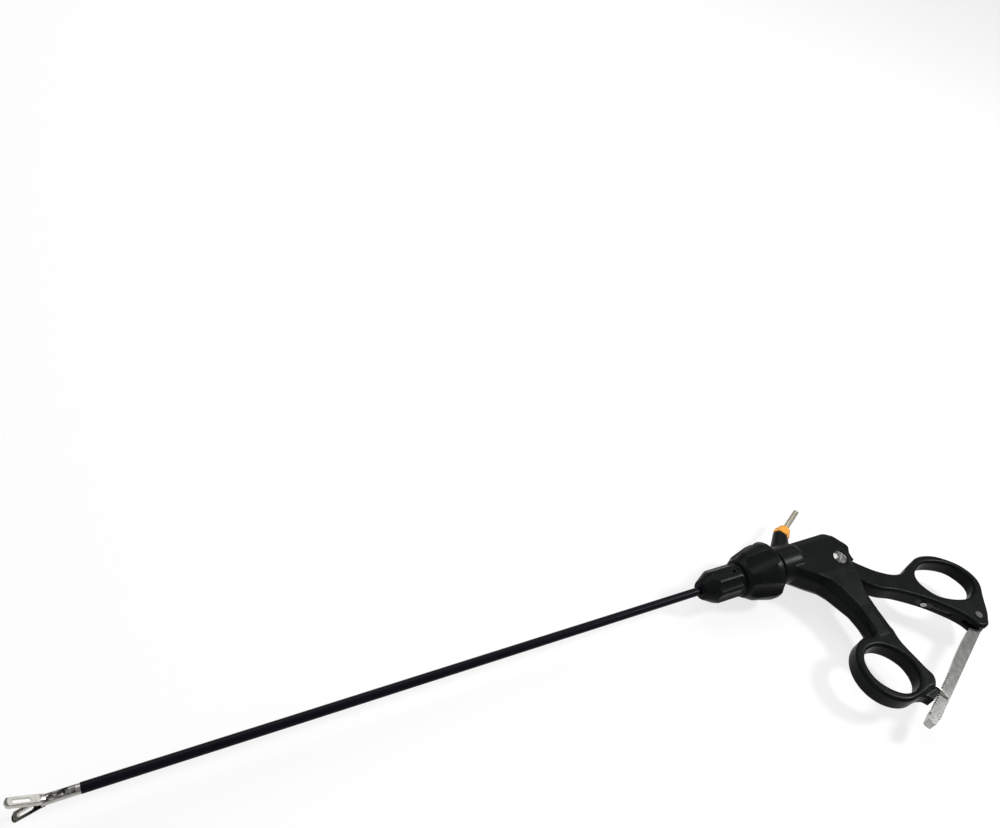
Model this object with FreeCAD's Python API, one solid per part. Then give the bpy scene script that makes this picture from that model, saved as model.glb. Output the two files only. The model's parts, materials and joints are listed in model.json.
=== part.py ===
import FreeCAD, Part
import math
import os

# Laparoscopic grasper, lying on its side. Millimetres.
# X runs along the shaft, from the jaws to the handle. Y is up along the handle's plane,
# away from the finger ring. Z is square to that plane. The origin is on the shaft's axis
# where the shaft leaves the rotation knob.

# Shaft and rod
shaft_r = 2.5
shaft_len = 336.0
sleeve_wall = 0.4
sleeve_end_gap = 0.1
ferrule_relief = 1.0
tube_wall = 0.4
rod_r = 0.8
rod_rear_r = 1.2
rod_seal_gap = 0.05

# Jaw end
clevis_r = 2.34
clevis_ring_len = 1.85
fork_len = 11.15
fork_slot_half = 1.6
fork_bore_r = 1.3
jaw_pin_r = 0.75
pin_gap = 0.04
jaw_open_deg = 30.0
jaw_len = 17.0
jaw_r = 2.4
jaw_nose_len = 2.6
jaw_root_r = 2.65
facet_height = 1.75
facet_len = 13.2
facet_from_tip = 0.8
window_width = 1.95
window_len = 7.8
window_from_tip = 2.7
tooth_pitch = 0.95
tooth_depth = 0.42
tooth_count = 14
tooth_gap = 0.1
tail_len = 3.7
tail_closed_deg = 26.0
tail_end_r = 0.95
hub_r = 1.9
leaf_inner = 0.05
leaf_thick = 0.7
link_len = 6.0
link_gap = 0.05
link_thick = 0.6
link_eye_r = 0.95
link_pin_r = 0.5
stud_r = 0.4
stud_play = 0.17
tongue_half = 0.7
tongue_height = 1.0
tongue_len = 3.2
socket_len = 3.0
socket_r = 1.15
clevis_rivet_r = 0.42

# Rotation knob and what it turns on
nose_r = 5.6
nose_collar_r = 4.2
nose_step = 0.4
knob_cone_len = 9.0
knob_barrel_r = 10.2
knob_barrel_end = 27.0
knob_groove_r = 9.3
groove_len = 1.8
knob_flare_r = 11.2
knob_shoulder_x = 35.5
knob_shoulder_r = 15.0
knob_crest_r = 17.9
knob_crest_x = 48.0
knob_crest_len = 3.6
knob_neck_r = 11.8
knob_neck_x = 55.0
knob_end = 57.4
flute_count = 8
flute_depth = 0.9
flute_flatness = 1.1
flute_phase_deg = 82.0
lobe_count = 5
lobe_phase_deg = 56.6
scallop_r = 9.5
scallop_floor = 10.4
scallop_tilt_deg = 17.0
ferrule_len = 8.0
hub_tube_r = 5.0
hub_start = 10.0
tube_end = 52.0
seal_len = 3.0
hub_flange_r = 6.5
hub_flange_start = 68.0
hub_end = 72.0
washer_thick = 0.5
washer_gap = 0.05
washer_r = 9.0
running_gap = 0.05
grub_x = 23.0
grub_r = 1.1
grub_recess = 1.6

# Housing and front handle
housing_start = 58.0
barrel_r = 12.0
barrel_end = 73.5
barrel_taper_len = 6.0
box_half = 8.0
box_top = 9.6
box_bottom = -6.0
box_chamfer_drop = 4.8
box_chamfer_in = 2.6
cheek_boss_r = 7.4
cheek_boss_rise = 0.9
seam_from_end = 1.6
seam_width = 0.6
seam_depth = 0.35
grip_bevel = 0.5
cheek_gap = 0.3
pivot_x = 101.0
lever_arm = 11.0
handle_radius = 92.5
ring_half = 5.8
finger_ring_right = -0.2
finger_ring_up = -0.762
finger_ring_r = 0.229
finger_hole_right = -0.202
finger_hole_up = -0.776
finger_hole_long = 0.181
finger_hole_short = 0.149
finger_hole_deg = 131.4
ring_bevel = 1.3
catch_deg = -87.95
bar_pin_deg = -42.4
rod_bore_r = 2.3

# Lead post
post_deg = 28.5
post_x = 79.2
post_y = 18.6
boss_r = 4.8
boss_root_r = 6.2
boss_len = 12.0
boss_shift = 4.6
collar_across = 7.2
collar_hex_len = 5.0
collar_cone_len = 3.6
collar_tip_r = 2.6
lead_pin_r = 2.0
lead_pin_len = 20.0
lead_stem_r = 1.6
lead_stem_len = 6.0
lead_slit = 0.45
lead_slit_len = 8.0
lead_chamfer = 0.5
contact_x = 74.6
contact_r = 0.8
contact_gap = 0.1

# Pivot screw
screw_r = 2.5
screw_head_r = 4.5
screw_head_rise = 1.9
screw_seat = 8.3
screw_recess_r = 5.0
screw_slot = 1.1
nut_thread_r = 1.8
nut_neck_start = -6.3

# Rear handle
rear_half = 5.6
rear_hub_r = 7.5
thumb_hole_right = 0.719
thumb_hole_up = -0.378
thumb_hole_long = 0.2245
thumb_hole_short = 0.147
thumb_hole_deg = -23.1
ball_r = 2.4
ball_neck_r = 1.0
ball_gap = 0.1
insert_half = 3.6
lever_half = 5.0
lever_thick_half = 4.6
slot_gap = 1.9

# Ratchet
bar_thick_half = 1.0
bar_width = 6.3
bar_bow = 0.8
bar_eye_r = 3.2
bar_tail = 22.5
bar_slot_gap = 0.35
bar_pin_r = 1.5
bar_pin_head_r = 2.3
bar_pin_head_rise = 0.5
bar_tooth_pitch = 2.0
bar_tooth_depth = 0.9
bar_tooth_count = 16
bar_tooth_reserve = 3.0
tab_len = 11.5
tab_depth = 6.0
tab_width = 4.8
tab_start = 0.9
tab_round = 1.6
catch_thick = 0.9
catch_half = 3.8
catch_tip_half = 2.1
catch_gap = 0.1
catch_above = 4.4
catch_below = 5.6
catch_leg_gap = 0.3
catch_rivet_r = 0.7
foot_gap = 0.5
foot_len = 9.8
foot_root = 9.5
spring_thick = 0.5
spring_half = 1.0
spring_pad_half = 2.4
spring_gap = 0.25
spring_screw_r = 1.0
spring_screw_head_r = 1.9

# Worked out from the sizes above
tube_r = shaft_r - sleeve_wall
tube_bore_r = tube_r - tube_wall
jaw_pivot_x = -(shaft_len + clevis_ring_len + fork_len)


def pin_distance(tail_deg):
    """Distance from the jaw pivot to the link pin for a tail at this angle to the shaft."""
    angle = math.radians(tail_deg)
    rise = tail_len * math.sin(angle)
    return tail_len * math.cos(angle) + math.sqrt(link_len ** 2 - rise ** 2)


tail_open_deg = tail_closed_deg + jaw_open_deg
pin_open = pin_distance(tail_open_deg)
stroke = pin_distance(tail_closed_deg) - pin_open
handle_travel_deg = math.degrees(stroke / lever_arm)
link_open_deg = math.degrees(math.asin(tail_len * math.sin(math.radians(tail_open_deg)) / link_len))
link_closed_deg = math.degrees(math.asin(tail_len * math.sin(math.radians(tail_closed_deg)) / link_len))
ball_x = pivot_x - stroke / 2.0
pivot_y = -lever_arm
cheek_half = rear_half + cheek_gap
catch_x = pivot_x + handle_radius * math.cos(math.radians(catch_deg))
catch_y = pivot_y + handle_radius * math.sin(math.radians(catch_deg))
bar_pin_x = pivot_x + handle_radius * math.cos(math.radians(bar_pin_deg))
bar_pin_y = pivot_y + handle_radius * math.sin(math.radians(bar_pin_deg))
bar_reach = math.hypot(catch_x - bar_pin_x, catch_y - bar_pin_y)
bar_deg = math.degrees(math.atan2(catch_y - bar_pin_y, catch_x - bar_pin_x))
closed_reach = 2 * handle_radius * math.sin(
    math.asin(bar_reach / 2 / handle_radius) - math.radians(handle_travel_deg / 2))

# How outlines are drawn
flat_turn = 1e-6
edge_near = 0.01
oval_corners = 8

AXIS_X = FreeCAD.Vector(1, 0, 0)
AXIS_Y = FreeCAD.Vector(0, 1, 0)
AXIS_Z = FreeCAD.Vector(0, 0, 1)
ORIGIN = FreeCAD.Vector(0, 0, 0)


def vec(x, y, z=0.0):
    return FreeCAD.Vector(x, y, z)


def rod_along_x(radius, start, end, y=0.0, z=0.0):
    return Part.makeCylinder(radius, end - start, vec(start, y, z), AXIS_X)


def rod_along_y(radius, start, end, x, z=0.0):
    return Part.makeCylinder(radius, end - start, vec(x, start, z), AXIS_Y)


def rod_along_z(radius, start, end, x, y):
    return Part.makeCylinder(radius, end - start, vec(x, y, start), AXIS_Z)


def block(x0, x1, y0, y1, z0, z1):
    return Part.makeBox(x1 - x0, y1 - y0, z1 - z0, vec(x0, y0, z0))


def polygon_face(points):
    corners = [vec(*point) for point in points]
    return Part.Face(Part.makePolygon(corners + corners[:1]))


def plate(points, z0, z1):
    """A flat plate in the handle's plane, from z0 to z1."""
    face = polygon_face(points)
    face.translate(vec(0, 0, z0))
    return face.extrude(vec(0, 0, z1 - z0))


def by_reach(right, up):
    """A point given from the handles' pivot in shares of the handle radius."""
    return vec(pivot_x + right * handle_radius, pivot_y + up * handle_radius)


def arc_edge(start, tangent, end):
    """The arc from start to end that leaves start along the tangent."""
    chord = end - start
    across = tangent - chord * (tangent.dot(chord) / chord.dot(chord))
    if across.Length < flat_turn:
        return Part.LineSegment(start, end).toShape()
    sagitta = chord.Length / 2 * math.tan(tangent.getAngle(chord) / 2)
    middle = (start + end) * 0.5 + across.normalize() * sagitta
    return Part.Arc(start, middle, end).toShape()


def smooth_face(corners):
    """A face whose closed outline runs through the corners in arcs that share their tangents."""
    tangents = []
    for index, corner in enumerate(corners):
        back = corner - corners[index - 1]
        ahead = corners[(index + 1) % len(corners)] - corner
        tangent = back * (ahead.Length / back.Length) + ahead * (back.Length / ahead.Length)
        tangents.append(tangent.normalize())
    edges = []
    for index, start in enumerate(corners):
        end = corners[(index + 1) % len(corners)]
        leave = tangents[index]
        arrive = tangents[(index + 1) % len(corners)]
        gap = end - start
        along = gap.dot(leave + arrive)
        bend = 2 * (1 - leave.dot(arrive))
        reach = gap.dot(gap) / (math.sqrt(along ** 2 + bend * gap.dot(gap)) + along)
        joint = (start + end + (leave - arrive) * reach) * 0.5
        edges.append(arc_edge(start, leave, joint))
        edges.append(arc_edge(end, arrive * -1, joint))
    return Part.Face(Part.Wire(Part.__sortEdges__(edges)))


def oval_face(centre, long_r, short_r, degrees):
    """A face like an ellipse, made of arcs; its long axis is turned by the angle."""
    long_way = vec(math.cos(math.radians(degrees)), math.sin(math.radians(degrees)))
    short_way = vec(-long_way.y, long_way.x)
    corners = []
    for index in range(oval_corners):
        angle = 2 * math.pi * index / oval_corners
        corners.append(centre + long_way * (long_r * math.cos(angle)) + short_way * (short_r * math.sin(angle)))
    return smooth_face(corners)


def bevelled_plate(outline, hole, half, bevel):
    """A plate between the two outlines, with a bevel along every rim."""
    face = outline.cut(hole)
    face.translate(vec(0, 0, -half))
    body = face.extrude(vec(0, 0, 2 * half))
    return body.makeChamfer(bevel, edges_at(body, half))


def line_edge(start, end):
    return Part.LineSegment(vec(*start), vec(*end)).toShape()


def revolve_profile(points):
    """Turn an outline of (x, radius) points about the shaft's axis."""
    return polygon_face([(x, r) for x, r in points]).revolve(ORIGIN, AXIS_X, 360)


def stadium(x0, x1, half_width, z0, z1):
    """A slot shape along X with round ends, between z0 and z1."""
    middle = block(x0 + half_width, x1 - half_width, -half_width, half_width, z0, z1)
    front = rod_along_z(half_width, z0, z1, x0 + half_width, 0)
    back = rod_along_z(half_width, z0, z1, x1 - half_width, 0)
    return middle.fuse([front, back])


def edges_at(shape, height):
    """The edges that lie wholly at this height above or below the handle's plane."""
    found = []
    for edge in shape.Edges:
        box = edge.BoundBox
        top = abs(box.ZMax - height) < edge_near and abs(box.ZMin - height) < edge_near
        bottom = abs(box.ZMax + height) < edge_near and abs(box.ZMin + height) < edge_near
        if top or bottom:
            found.append(edge)
    return found


def turned(shape, x, y, degrees):
    """A copy turned about an axis square to the handle's plane."""
    copy = shape.copy()
    copy.rotate(vec(x, y), AXIS_Z, degrees)
    return copy


def save(shape, name):
    clean = shape.removeSplitter()
    if not clean.isValid():
        clean = shape
    print(name, "solids", len(clean.Solids), "volume", round(clean.Volume, 2), "valid", clean.isValid())
    clean.exportStep("parts/" + name + ".step")


# Jaw end

def tooth_region(phase, tip):
    """Everything below the toothed line: the line's tips reach down to the height tip."""
    start = -jaw_len - 1.0
    first = -jaw_len + jaw_nose_len / 3 + phase * tooth_pitch
    valley = tip + tooth_depth
    points = [(start, -9.0), (start, valley), (first - tooth_pitch / 2, valley)]
    for index in range(tooth_count):
        low = first + index * tooth_pitch
        points.append((low, tip))
        points.append((low + tooth_pitch / 2, valley))
    end = first + tooth_count * tooth_pitch
    points.append((end, tip + tooth_depth / 2))
    points.append((end + 6.0, tip + tooth_depth / 2))
    points.append((end + 6.0, -9.0))
    corners = [vec(x, -9.0, z) for x, z in points]
    face = Part.Face(Part.makePolygon(corners + corners[:1]))
    return face.extrude(vec(0, 18.0, 0))


def jaw_closed(phase):
    """The upper jaw when shut, with its pivot at the origin and its tip towards -X."""
    shell = rod_along_x(jaw_r, -jaw_len, 0)
    nose_x = -jaw_len + jaw_nose_len
    side_round = rod_along_y(jaw_nose_len, -2 * jaw_r, 2 * jaw_r, nose_x)
    top_round = rod_along_z(jaw_nose_len, -2 * jaw_r, 2 * jaw_r, nose_x, 0)
    rest = block(nose_x, 0, -2 * jaw_r, 2 * jaw_r, -2 * jaw_r, 2 * jaw_r)
    shell = shell.common(side_round.fuse(rest)).common(top_round.fuse(rest))
    tip = -(tooth_depth - tooth_gap) / 2
    shell = shell.cut(tooth_region(phase, tip))
    facet_start = -jaw_len + facet_from_tip
    facet = stadium(facet_start, facet_start + facet_len, jaw_r, facet_height, 3 * facet_height)
    window_start = -jaw_len + window_from_tip
    window = stadium(window_start, window_start + window_len, window_width / 2, -jaw_r, 2 * jaw_r)
    root = rod_along_y(jaw_root_r, -2 * jaw_r, 2 * jaw_r, 0)
    shell = shell.cut([facet, window, root])
    outer = leaf_inner + leaf_thick
    hub = rod_along_y(hub_r, leaf_inner, outer, 0)
    neck = block(-jaw_root_r - 1.0, 0, leaf_inner, outer, tooth_depth, hub_r)
    tail_x = tail_len * math.cos(math.radians(tail_closed_deg))
    tail_z = -tail_len * math.sin(math.radians(tail_closed_deg))
    tail_end = rod_along_y(tail_end_r, leaf_inner, outer, tail_x, tail_z)
    tail_bar = block(0, tail_len, leaf_inner, outer, -tail_end_r, tail_end_r)
    tail_bar.rotate(ORIGIN, AXIS_Y, tail_closed_deg)
    jaw = shell.fuse([hub, neck, tail_bar, tail_end])
    pivot_hole = rod_along_y(jaw_pin_r + pin_gap, -jaw_r, jaw_r, 0)
    stud_hole = rod_along_y(stud_r + stud_play, -jaw_r, jaw_r, tail_x, tail_z)
    return jaw.cut([pivot_hole, stud_hole])


def jaws():
    upper = jaw_closed(0.0)
    lower = jaw_closed(0.5)
    lower.rotate(ORIGIN, AXIS_X, 180)
    upper.rotate(ORIGIN, AXIS_Y, jaw_open_deg)
    lower.rotate(ORIGIN, AXIS_Y, -jaw_open_deg)
    for jaw, name in ((upper, "jaw_upper"), (lower, "jaw_lower")):
        jaw.translate(vec(jaw_pivot_x, 0))
        save(jaw, name)


def clevis():
    body = rod_along_x(clevis_r, jaw_pivot_x - clevis_r, -shaft_len)
    spigot = rod_along_x(tube_bore_r, -shaft_len, -shaft_len + 6.0)
    slot_end = jaw_pivot_x + fork_len
    slot = block(jaw_pivot_x - 9.0, slot_end, -fork_slot_half, fork_slot_half, -9.0, 9.0)
    bore = rod_along_x(fork_bore_r, slot_end - 1.0, -shaft_len + 7.0)
    ends = rod_along_y(clevis_r, -9.0, 9.0, jaw_pivot_x)
    keep = ends.fuse(block(jaw_pivot_x, 0, -9.0, 9.0, -9.0, 9.0))
    pin_hole = rod_along_y(jaw_pin_r, -9.0, 9.0, jaw_pivot_x)
    rivet_hole = clevis_rivet_shape()
    save(body.common(keep).fuse(spigot).cut([slot, bore, pin_hole, rivet_hole]), "clevis")


def clevis_rivet_shape():
    return Part.makeCylinder(clevis_rivet_r, 1.0, vec(-shaft_len - clevis_ring_len / 2, 0, clevis_r - 0.9), AXIS_Z)


def jaw_fasteners():
    body = rod_along_x(clevis_r, jaw_pivot_x - clevis_r, jaw_pivot_x + clevis_r)
    save(rod_along_y(jaw_pin_r, -clevis_r, clevis_r, jaw_pivot_x).common(body), "jaw_pivot_pin")
    ring = rod_along_x(clevis_r, -shaft_len - clevis_ring_len, -shaft_len)
    save(clevis_rivet_shape().common(ring), "clevis_rivet")
    reach = leaf_inner + leaf_thick + link_gap + link_thick
    save(rod_along_y(link_pin_r, -reach, reach, jaw_pivot_x + pin_open), "link_pin")


def link_shape():
    """A link that points to -X from its pin hole at the origin, on the +Y side of the rod.

    With the jaws closed its outer edge lies within the shaft's round.
    """
    inner = leaf_inner + leaf_thick + link_gap
    outer = inner + link_thick
    eye = rod_along_y(link_eye_r, inner, outer, 0)
    far_eye = rod_along_y(link_eye_r, inner, outer, -link_len)
    waist = block(-link_len, 0, inner, outer, -link_eye_r * 0.7, link_eye_r * 0.7)
    stud = rod_along_y(stud_r, leaf_inner, inner, -link_len)
    hole = rod_along_y(link_pin_r + pin_gap, -1.0, outer + 1.0, 0)
    port = rod_along_x(shaft_r, -2 * link_len, 2 * link_len)
    port.rotate(ORIGIN, AXIS_Y, link_closed_deg)
    return eye.fuse([far_eye, waist, stud]).cut(hole).common(port)


def links():
    upper = link_shape()
    lower = link_shape()
    lower.rotate(ORIGIN, AXIS_X, 180)
    upper.rotate(ORIGIN, AXIS_Y, -link_open_deg)
    lower.rotate(ORIGIN, AXIS_Y, link_open_deg)
    for link, name in ((upper, "link_upper"), (lower, "link_lower")):
        link.translate(vec(jaw_pivot_x + pin_open, 0))
        save(link, name)


def push_rod():
    pin_x = jaw_pivot_x + pin_open
    front = rod_along_y(tongue_height, -tongue_half, tongue_half, pin_x)
    flat = block(pin_x, pin_x + tongue_len, -tongue_half, tongue_half, -tongue_height, tongue_height)
    socket = rod_along_x(socket_r, pin_x + tongue_len - 1.0, pin_x + tongue_len + socket_len)
    rod_start = pin_x + tongue_len + 0.6
    tongue = front.fuse([flat, socket])
    hole = rod_along_y(link_pin_r, -tongue_half, tongue_half, pin_x)
    blind = rod_along_x(rod_r, rod_start, pin_x + tongue_len + socket_len)
    save(tongue.cut([hole, blind]), "rod_tongue")
    thick_start = tube_end + seal_len + 5.0
    rod = rod_along_x(rod_r, rod_start, thick_start)
    rear = rod_along_x(rod_rear_r, thick_start, ball_x - 6.0)
    neck = rod_along_x(ball_neck_r, ball_x - 6.0, ball_x)
    ball = Part.makeSphere(ball_r, vec(ball_x, 0))
    save(rod.fuse([rear, neck, ball]), "push_rod")


def shaft():
    tube = rod_along_x(tube_r, -shaft_len, tube_end).cut(rod_along_x(tube_bore_r, -shaft_len, tube_end))
    save(tube, "shaft_tube")
    sleeve = rod_along_x(shaft_r, -shaft_len, -sleeve_end_gap).cut(rod_along_x(tube_r, -shaft_len, 0))
    save(sleeve, "insulation_sleeve")


# Rotation knob

def knob_body():
    crest_end = knob_crest_x + knob_crest_len
    profile = [
        (nose_step, nose_collar_r),
        (nose_step, nose_r),
        (knob_cone_len, knob_barrel_r),
        (knob_barrel_end, knob_barrel_r),
        (knob_barrel_end, knob_groove_r),
        (knob_barrel_end + groove_len, knob_groove_r),
        (knob_barrel_end + groove_len, knob_flare_r),
        (knob_shoulder_x, knob_shoulder_r),
        (knob_crest_x, knob_crest_r),
        (crest_end, knob_crest_r),
        (knob_neck_x, knob_neck_r),
        (knob_end, knob_neck_r),
        (knob_end, hub_tube_r),
        (hub_start, hub_tube_r),
        (hub_start, tube_r),
        (ferrule_len, tube_r),
        (ferrule_len, nose_collar_r),
    ]
    return revolve_profile(profile)


def knob_flutes():
    """Shallow hollows along the barrel, from the cone to the groove."""
    cutter_r = knob_barrel_r * flute_flatness
    offset = knob_barrel_r - flute_depth + cutter_r
    cutters = []
    for index in range(flute_count):
        angle = math.radians(flute_phase_deg + index * 360.0 / flute_count)
        y = offset * math.cos(angle)
        z = offset * math.sin(angle)
        cutters.append(rod_along_x(cutter_r, -1.0, knob_barrel_end - flute_depth, y, z))
    return cutters


def knob_scallops():
    """Finger hollows between the lobes, deepest at the front and shallow at the crest."""
    start = knob_barrel_end + groove_len
    length = knob_end - start + scallop_r
    cutter = rod_along_x(scallop_r, 0, length)
    cutter.rotate(ORIGIN, AXIS_Z, scallop_tilt_deg)
    cutter.translate(vec(start, scallop_floor + scallop_r))
    cutters = []
    for index in range(lobe_count):
        angle_deg = lobe_phase_deg + (index + 0.5) * 360.0 / lobe_count
        copy = cutter.copy()
        copy.rotate(ORIGIN, AXIS_X, angle_deg)
        cutters.append(copy)
    return cutters


def grub_hole(inset):
    """The set screw's bore, square to the flute that faces up."""
    angle = math.radians(flute_phase_deg)
    direction = vec(0, math.cos(angle), math.sin(angle))
    start = direction * hub_tube_r + vec(grub_x, 0)
    return Part.makeCylinder(grub_r, knob_barrel_r - flute_depth - hub_tube_r - inset, start, direction)


def rotation_knob():
    knob = knob_body()
    knob = knob.cut(knob_flutes())
    knob = knob.cut(knob_scallops())
    knob = knob.cut(grub_hole(-2.0))
    save(knob, "rotation_knob")
    save(grub_hole(grub_recess), "knob_grub_screw")
    ferrule = rod_along_x(nose_collar_r, 0, ferrule_len).cut(rod_along_x(tube_r, 0, ferrule_len))
    ferrule = ferrule.cut(rod_along_x(shaft_r + pin_gap, 0, ferrule_relief))
    rim = [edge for edge in ferrule.Edges
           if edge.BoundBox.XMax < edge_near and edge.BoundBox.YMax > nose_collar_r - edge_near]
    save(ferrule.makeChamfer(nose_step, rim), "nose_ferrule")


def rotation_hub():
    outer = rod_along_x(hub_tube_r, hub_start, hub_end)
    flange = rod_along_x(hub_flange_r, hub_flange_start, hub_end)
    tube_seat = rod_along_x(tube_r, hub_start, tube_end + seal_len)
    bore = rod_along_x(tube_bore_r, tube_end, hub_end)
    save(outer.fuse(flange).cut([tube_seat, bore]), "rotation_hub")
    seal = rod_along_x(tube_r, tube_end, tube_end + seal_len)
    save(seal.cut(rod_along_x(rod_r + rod_seal_gap, tube_end, tube_end + seal_len)), "rod_seal")
    start = knob_end + washer_gap
    washer = rod_along_x(washer_r, start, start + washer_thick)
    save(washer.cut(rod_along_x(hub_tube_r + running_gap, start, start + washer_thick)), "hub_washer")


# Front handle

# Height, front, back and half width of the grip's sections, from the pivot in shares of handle_radius
GRIP_STATIONS = [
    (0.065, -0.470, 0.125, 0.099),
    (-0.061, -0.321, 0.097, 0.105),
    (-0.121, -0.249, 0.089, 0.099),
    (-0.184, -0.210, 0.075, 0.094),
    (-0.351, -0.154, 0.022, 0.078),
    (-0.508, -0.147, 0.002, 0.068),
    (-0.568, -0.162, 0.004, 0.064),
]


def bevelled_section(y, x_front, x_back, half):
    """A cross-section of the grip at this height: a rectangle with its corners cut off."""
    corner = grip_bevel * min(half, (x_back - x_front) / 2)
    corners = []
    for front, side in ((x_front, 1), (x_back, -1)):
        for level in (-1, 1):
            outer = vec(front + side * corner, y, side * level * half)
            inner = vec(front, y, side * level * (half - corner))
            corners += [outer, inner] if level < 0 else [inner, outer]
    return Part.makePolygon(corners + corners[:1])


def grip():
    sections = []
    for up, front, back, half in GRIP_STATIONS:
        low = by_reach(front, up)
        high = by_reach(back, up)
        sections.append(bevelled_section(low.y, low.x, high.x, half * handle_radius))
    return Part.makeLoft(sections, True, True)


def housing_box():
    """The flat-sided upper housing, with sloping shoulders along its top."""
    side = [
        (70.0, box_bottom),
        (70.0, 4.0),
        (72.5, box_top),
        (105.0, box_top),
        (106.9, box_top - 1.1),
        (114.2, -3.8),
        (114.3, -5.6),
        (111.4, -9.8),
        (110.8, -15.0),
        (95.0, -15.0),
        (80.0, box_bottom),
    ]
    box = plate(side, -box_half, box_half)
    shoulder = Part.Face(Part.makePolygon([
        vec(60, box_top + 1, box_half - box_chamfer_in),
        vec(60, box_top, box_half - box_chamfer_in),
        vec(60, box_top - box_chamfer_drop, box_half),
        vec(60, box_top - box_chamfer_drop, box_half + 2),
        vec(60, box_top + 1, box_half + 2),
        vec(60, box_top + 1, box_half - box_chamfer_in),
    ])).extrude(vec(60, 0, 0))
    far_shoulder = shoulder.mirror(ORIGIN, AXIS_Z)
    return box.cut([shoulder, far_shoulder])


def finger_ring_plate():
    """Finger ring, the straight web behind it and the corner above the catch."""
    centre = by_reach(finger_ring_right, finger_ring_up)
    outline = []
    for angle_deg in range(75, 300, 30):
        angle = math.radians(angle_deg)
        outline.append(centre + vec(math.cos(angle), math.sin(angle)) * (finger_ring_r * handle_radius))
    outline += [by_reach(*share) for share in (
        (-0.054, -0.971),
        (0.013, -0.960),
        (0.045, -0.925),
        (0.035, -0.822),
        (0.010, -0.659),
        (0.004, -0.508),
        (-0.065, -0.460),
    )]
    hole = oval_face(by_reach(finger_hole_right, finger_hole_up), finger_hole_long * handle_radius,
                     finger_hole_short * handle_radius, finger_hole_deg)
    return bevelled_plate(smooth_face(outline), hole, ring_half, ring_bevel)


def bar_frame(shape):
    """Move a shape from the bar's own frame to the handle: +X runs from the pin to the tail."""
    copy = shape.copy()
    copy.rotate(ORIGIN, AXIS_Z, bar_deg)
    copy.translate(vec(bar_pin_x, bar_pin_y))
    return copy


def catch_foot():
    """The narrow foot under the ring that carries the catch plate, in the bar's frame."""
    front = bar_reach + catch_thick / 2
    slope = math.tan(math.radians(handle_travel_deg / 2))
    heel = front + foot_len
    heel_y = -foot_gap - foot_len * slope
    return bar_frame(plate([
        (front, -foot_gap),
        (heel, heel_y),
        (heel + 0.6, -foot_root / 2),
        (heel + 3.5, -foot_root * 0.8),
        (heel + 6.5, -foot_root),
        (front, -foot_root),
    ], -catch_half, catch_half))


def rear_slot():
    """The space between the housing's cheeks, where the thumb arm swings."""
    top = insert_half + slot_gap
    lower = [by_reach(*share) for share in (
        (0.097, 0.032),
        (0.106, -0.013),
        (0.335, -0.119),
        (0.335, -0.530),
        (0.082, -0.298),
        (-0.073, -0.095),
        (-0.091, -0.022),
    )]
    front = pivot_x - rear_hub_r - slot_gap / 2
    points = [(front, top), (pivot_x + lever_half + slot_gap, top)]
    points += [(point.x, point.y) for point in lower]
    return plate(points, -cheek_half, cheek_half)


def post_cylinder(radius, start, end, shift=0.0):
    """A cylinder along the lead post; start and end are measured from the collar's seat."""
    angle = math.radians(post_deg)
    along = vec(math.cos(angle), math.sin(angle))
    side = vec(math.sin(angle), -math.cos(angle))
    base = vec(post_x, post_y) + along * start + side * shift
    return Part.makeCylinder(radius, end - start, base, along)


def post_boss():
    """The boss under the collar, which leans into the housing and ends square to the post."""
    angle = math.radians(post_deg)
    along = vec(math.cos(angle), math.sin(angle))
    side = vec(math.sin(angle), -math.cos(angle))
    lean = along * boss_len - side * boss_shift
    base = vec(post_x, post_y) - lean
    growth = 1 + boss_r / lean.Length
    end_r = boss_root_r + (boss_r - boss_root_r) * growth
    cone = Part.makeCone(boss_root_r, end_r, lean.Length * growth, base, lean)
    return cone.cut(post_cylinder(3 * boss_r, 0, boss_len))


def contact_bore(radius):
    return rod_along_y(radius, rod_rear_r + contact_gap, post_y, contact_x)


def front_handle():
    barrel = rod_along_x(barrel_r, housing_start, barrel_end)
    taper = Part.makeCone(barrel_r, box_half, barrel_taper_len, vec(barrel_end, 0), AXIS_X)
    seam_start = housing_start + seam_from_end
    seam = rod_along_x(barrel_r + seam_width, seam_start, seam_start + seam_width)
    seam = seam.cut(rod_along_x(barrel_r - seam_depth, seam_start, seam_start + seam_width))
    front_cut = block(housing_start - 20, housing_start, -30, 30, -30, 30)
    cheeks = rod_along_z(cheek_boss_r, -box_half - cheek_boss_rise, box_half + cheek_boss_rise, pivot_x, pivot_y)
    body = grip().fuse(housing_box()).fuse(barrel.cut(seam).fuse(taper)).fuse(cheeks)
    body = body.fuse(finger_ring_plate()).fuse(catch_foot()).fuse(post_boss()).cut(front_cut)
    hub_bore = rod_along_x(hub_tube_r + running_gap, housing_start, hub_end)
    flange_room = rod_along_x(hub_flange_r + cheek_gap, hub_flange_start - cheek_gap, hub_end + cheek_gap)
    rod_bore = rod_along_x(rod_bore_r, hub_end, 96.0)
    screw_bore = rod_along_z(screw_r, -20, 20, pivot_x, pivot_y)
    near_recess = rod_along_z(screw_recess_r, screw_seat, 20, pivot_x, pivot_y)
    far_recess = rod_along_z(screw_recess_r, -20, -screw_seat, pivot_x, pivot_y)
    stem = post_cylinder(lead_stem_r, -lead_stem_len, 3.0)
    body = body.cut([hub_bore, flange_room, rod_bore, rear_slot()])
    body = body.cut([screw_bore, near_recess, far_recess, stem, contact_bore(contact_r)])
    body = body.cut([bar_frame(catch_blank()), bar_frame(catch_rivet_group())])
    save(body, "front_handle")


# Lead post

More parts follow.
